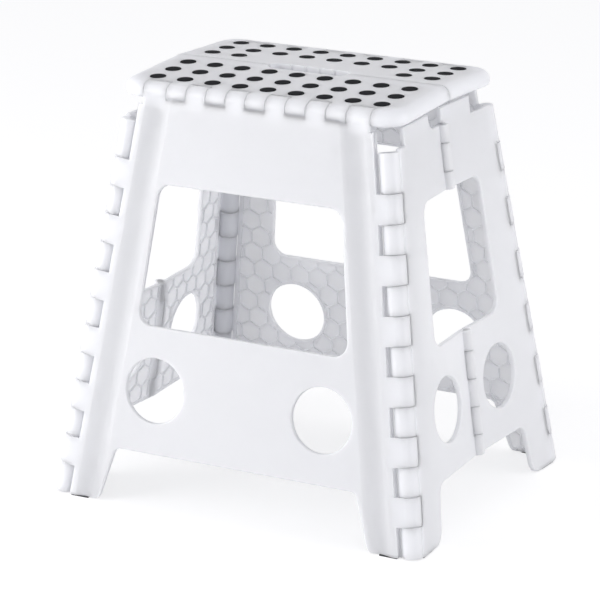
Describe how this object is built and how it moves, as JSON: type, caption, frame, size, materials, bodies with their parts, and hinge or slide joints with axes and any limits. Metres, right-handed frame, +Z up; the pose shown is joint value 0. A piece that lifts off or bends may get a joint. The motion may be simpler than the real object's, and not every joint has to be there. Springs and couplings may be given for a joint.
{
  "type": "folding step stool",
  "caption": "Folding step stool with splayed windowed leg panels, folding knuckle-hinged sides and a split top with a hand slot and rubber grip dots; lifting the seam folds it flat.",
  "frame": {"origin": "on the floor below the middle of the seam of the top, with the stool open", "axes": "+Z up, +X to the right along the seam, +Y to the back, away from the front leg panel"},
  "size_m": [0.378, 0.3036, 0.39],
  "materials": {
    "panel": "white moulded polypropylene, satin",
    "top_panel": "white moulded polypropylene with a fine pebble grain on the top",
    "dot": "black soft rubber, matt",
    "foot_pad": "dark grey rubber, matt",
    "hinge_pin": "drawn wire"
  },
  "bodies": {
    "front_leg": {"front_leg_panel": "panel", "front_leg_left_foot_pad": "foot_pad", "front_leg_right_foot_pad": "foot_pad", "front_left_corner_hinge_pin": "hinge_pin", "front_right_corner_hinge_pin": "hinge_pin", "front_top_hinge_pin": "hinge_pin"},
    "right_front_side": {"right_front_half_panel": "panel", "right_front_half_foot_pad": "foot_pad", "right_upper_side_hinge_pin": "hinge_pin", "right_lower_side_hinge_pin": "hinge_pin"},
    "right_rear_side": {"right_rear_half_panel": "panel", "right_rear_half_foot_pad": "foot_pad"},
    "rear_leg": {"rear_leg_panel": "panel", "rear_leg_left_foot_pad": "foot_pad", "rear_leg_right_foot_pad": "foot_pad", "rear_left_corner_hinge_pin": "hinge_pin", "rear_right_corner_hinge_pin": "hinge_pin", "rear_top_hinge_pin": "hinge_pin"},
    "left_rear_side": {"left_rear_half_panel": "panel", "left_rear_half_foot_pad": "foot_pad"},
    "left_front_side": {"left_front_half_panel": "panel", "left_front_half_foot_pad": "foot_pad", "left_upper_side_hinge_pin": "hinge_pin", "left_lower_side_hinge_pin": "hinge_pin"},
    "front_top": {"front_top_panel": "top_panel", "front_top_dots": "dot"},
    "rear_top": {"rear_top_panel": "top_panel", "rear_top_dots": "dot", "left_top_centre_pin": "hinge_pin", "right_top_centre_pin": "hinge_pin"}
  },
  "joints": [
    {"name": "right_front_corner_hinge", "type": "hinge", "parent": "front_leg", "child": "right_front_side", "pos_m": [0.15283, -0.1169, 0.18642], "axis": [-0.1403, 0.1327, 0.9812], "range_deg": [0, 88.1]},
    {"name": "side_fold", "type": "hinge", "parent": "right_front_side", "child": "right_rear_side", "pos_m": [0.15671, 0, 0.18827], "axis": [0.1346, 0, -0.9909], "range_deg": [0, 174]},
    {"name": "right_rear_corner_hinge", "type": "hinge", "parent": "right_rear_side", "child": "rear_leg", "pos_m": [0.15283, 0.1169, 0.18642], "axis": [-0.1403, -0.1327, 0.9812], "range_deg": [0, 88.1]},
    {"name": "left_front_corner_hinge", "type": "hinge", "parent": "front_leg", "child": "left_front_side", "pos_m": [-0.15283, -0.1169, 0.18642], "axis": [-0.1403, -0.1327, -0.9812], "range_deg": [0, 88.1]},
    {"name": "left_rear_corner_hinge", "type": "hinge", "parent": "rear_leg", "child": "left_rear_side", "pos_m": [-0.15283, 0.1169, 0.18642], "axis": [0.1403, -0.1327, 0.9812], "range_deg": [0, 88.1]},
    {"name": "front_top_hinge", "type": "hinge", "parent": "front_leg", "child": "front_top", "pos_m": [0, -0.09119, 0.37662], "axis": [1, 0, 0], "range_deg": [0, 77.2]},
    {"name": "rear_top_hinge", "type": "hinge", "parent": "rear_leg", "child": "rear_top", "pos_m": [0, 0.09119, 0.37662], "axis": [-1, 0, 0], "range_deg": [0, 77.2]}
  ],
  "couplings": [
    {"joint": "right_front_corner_hinge", "follows": "side_fold", "ratio": 0.50627},
    {"joint": "right_rear_corner_hinge", "follows": "side_fold", "ratio": 0.50627},
    {"joint": "left_front_corner_hinge", "follows": "side_fold", "ratio": 0.50627},
    {"joint": "left_rear_corner_hinge", "follows": "side_fold", "ratio": 0.50627},
    {"joint": "front_top_hinge", "follows": "side_fold", "ratio": 0.44354},
    {"joint": "rear_top_hinge", "follows": "side_fold", "ratio": 0.44354}
  ]
}
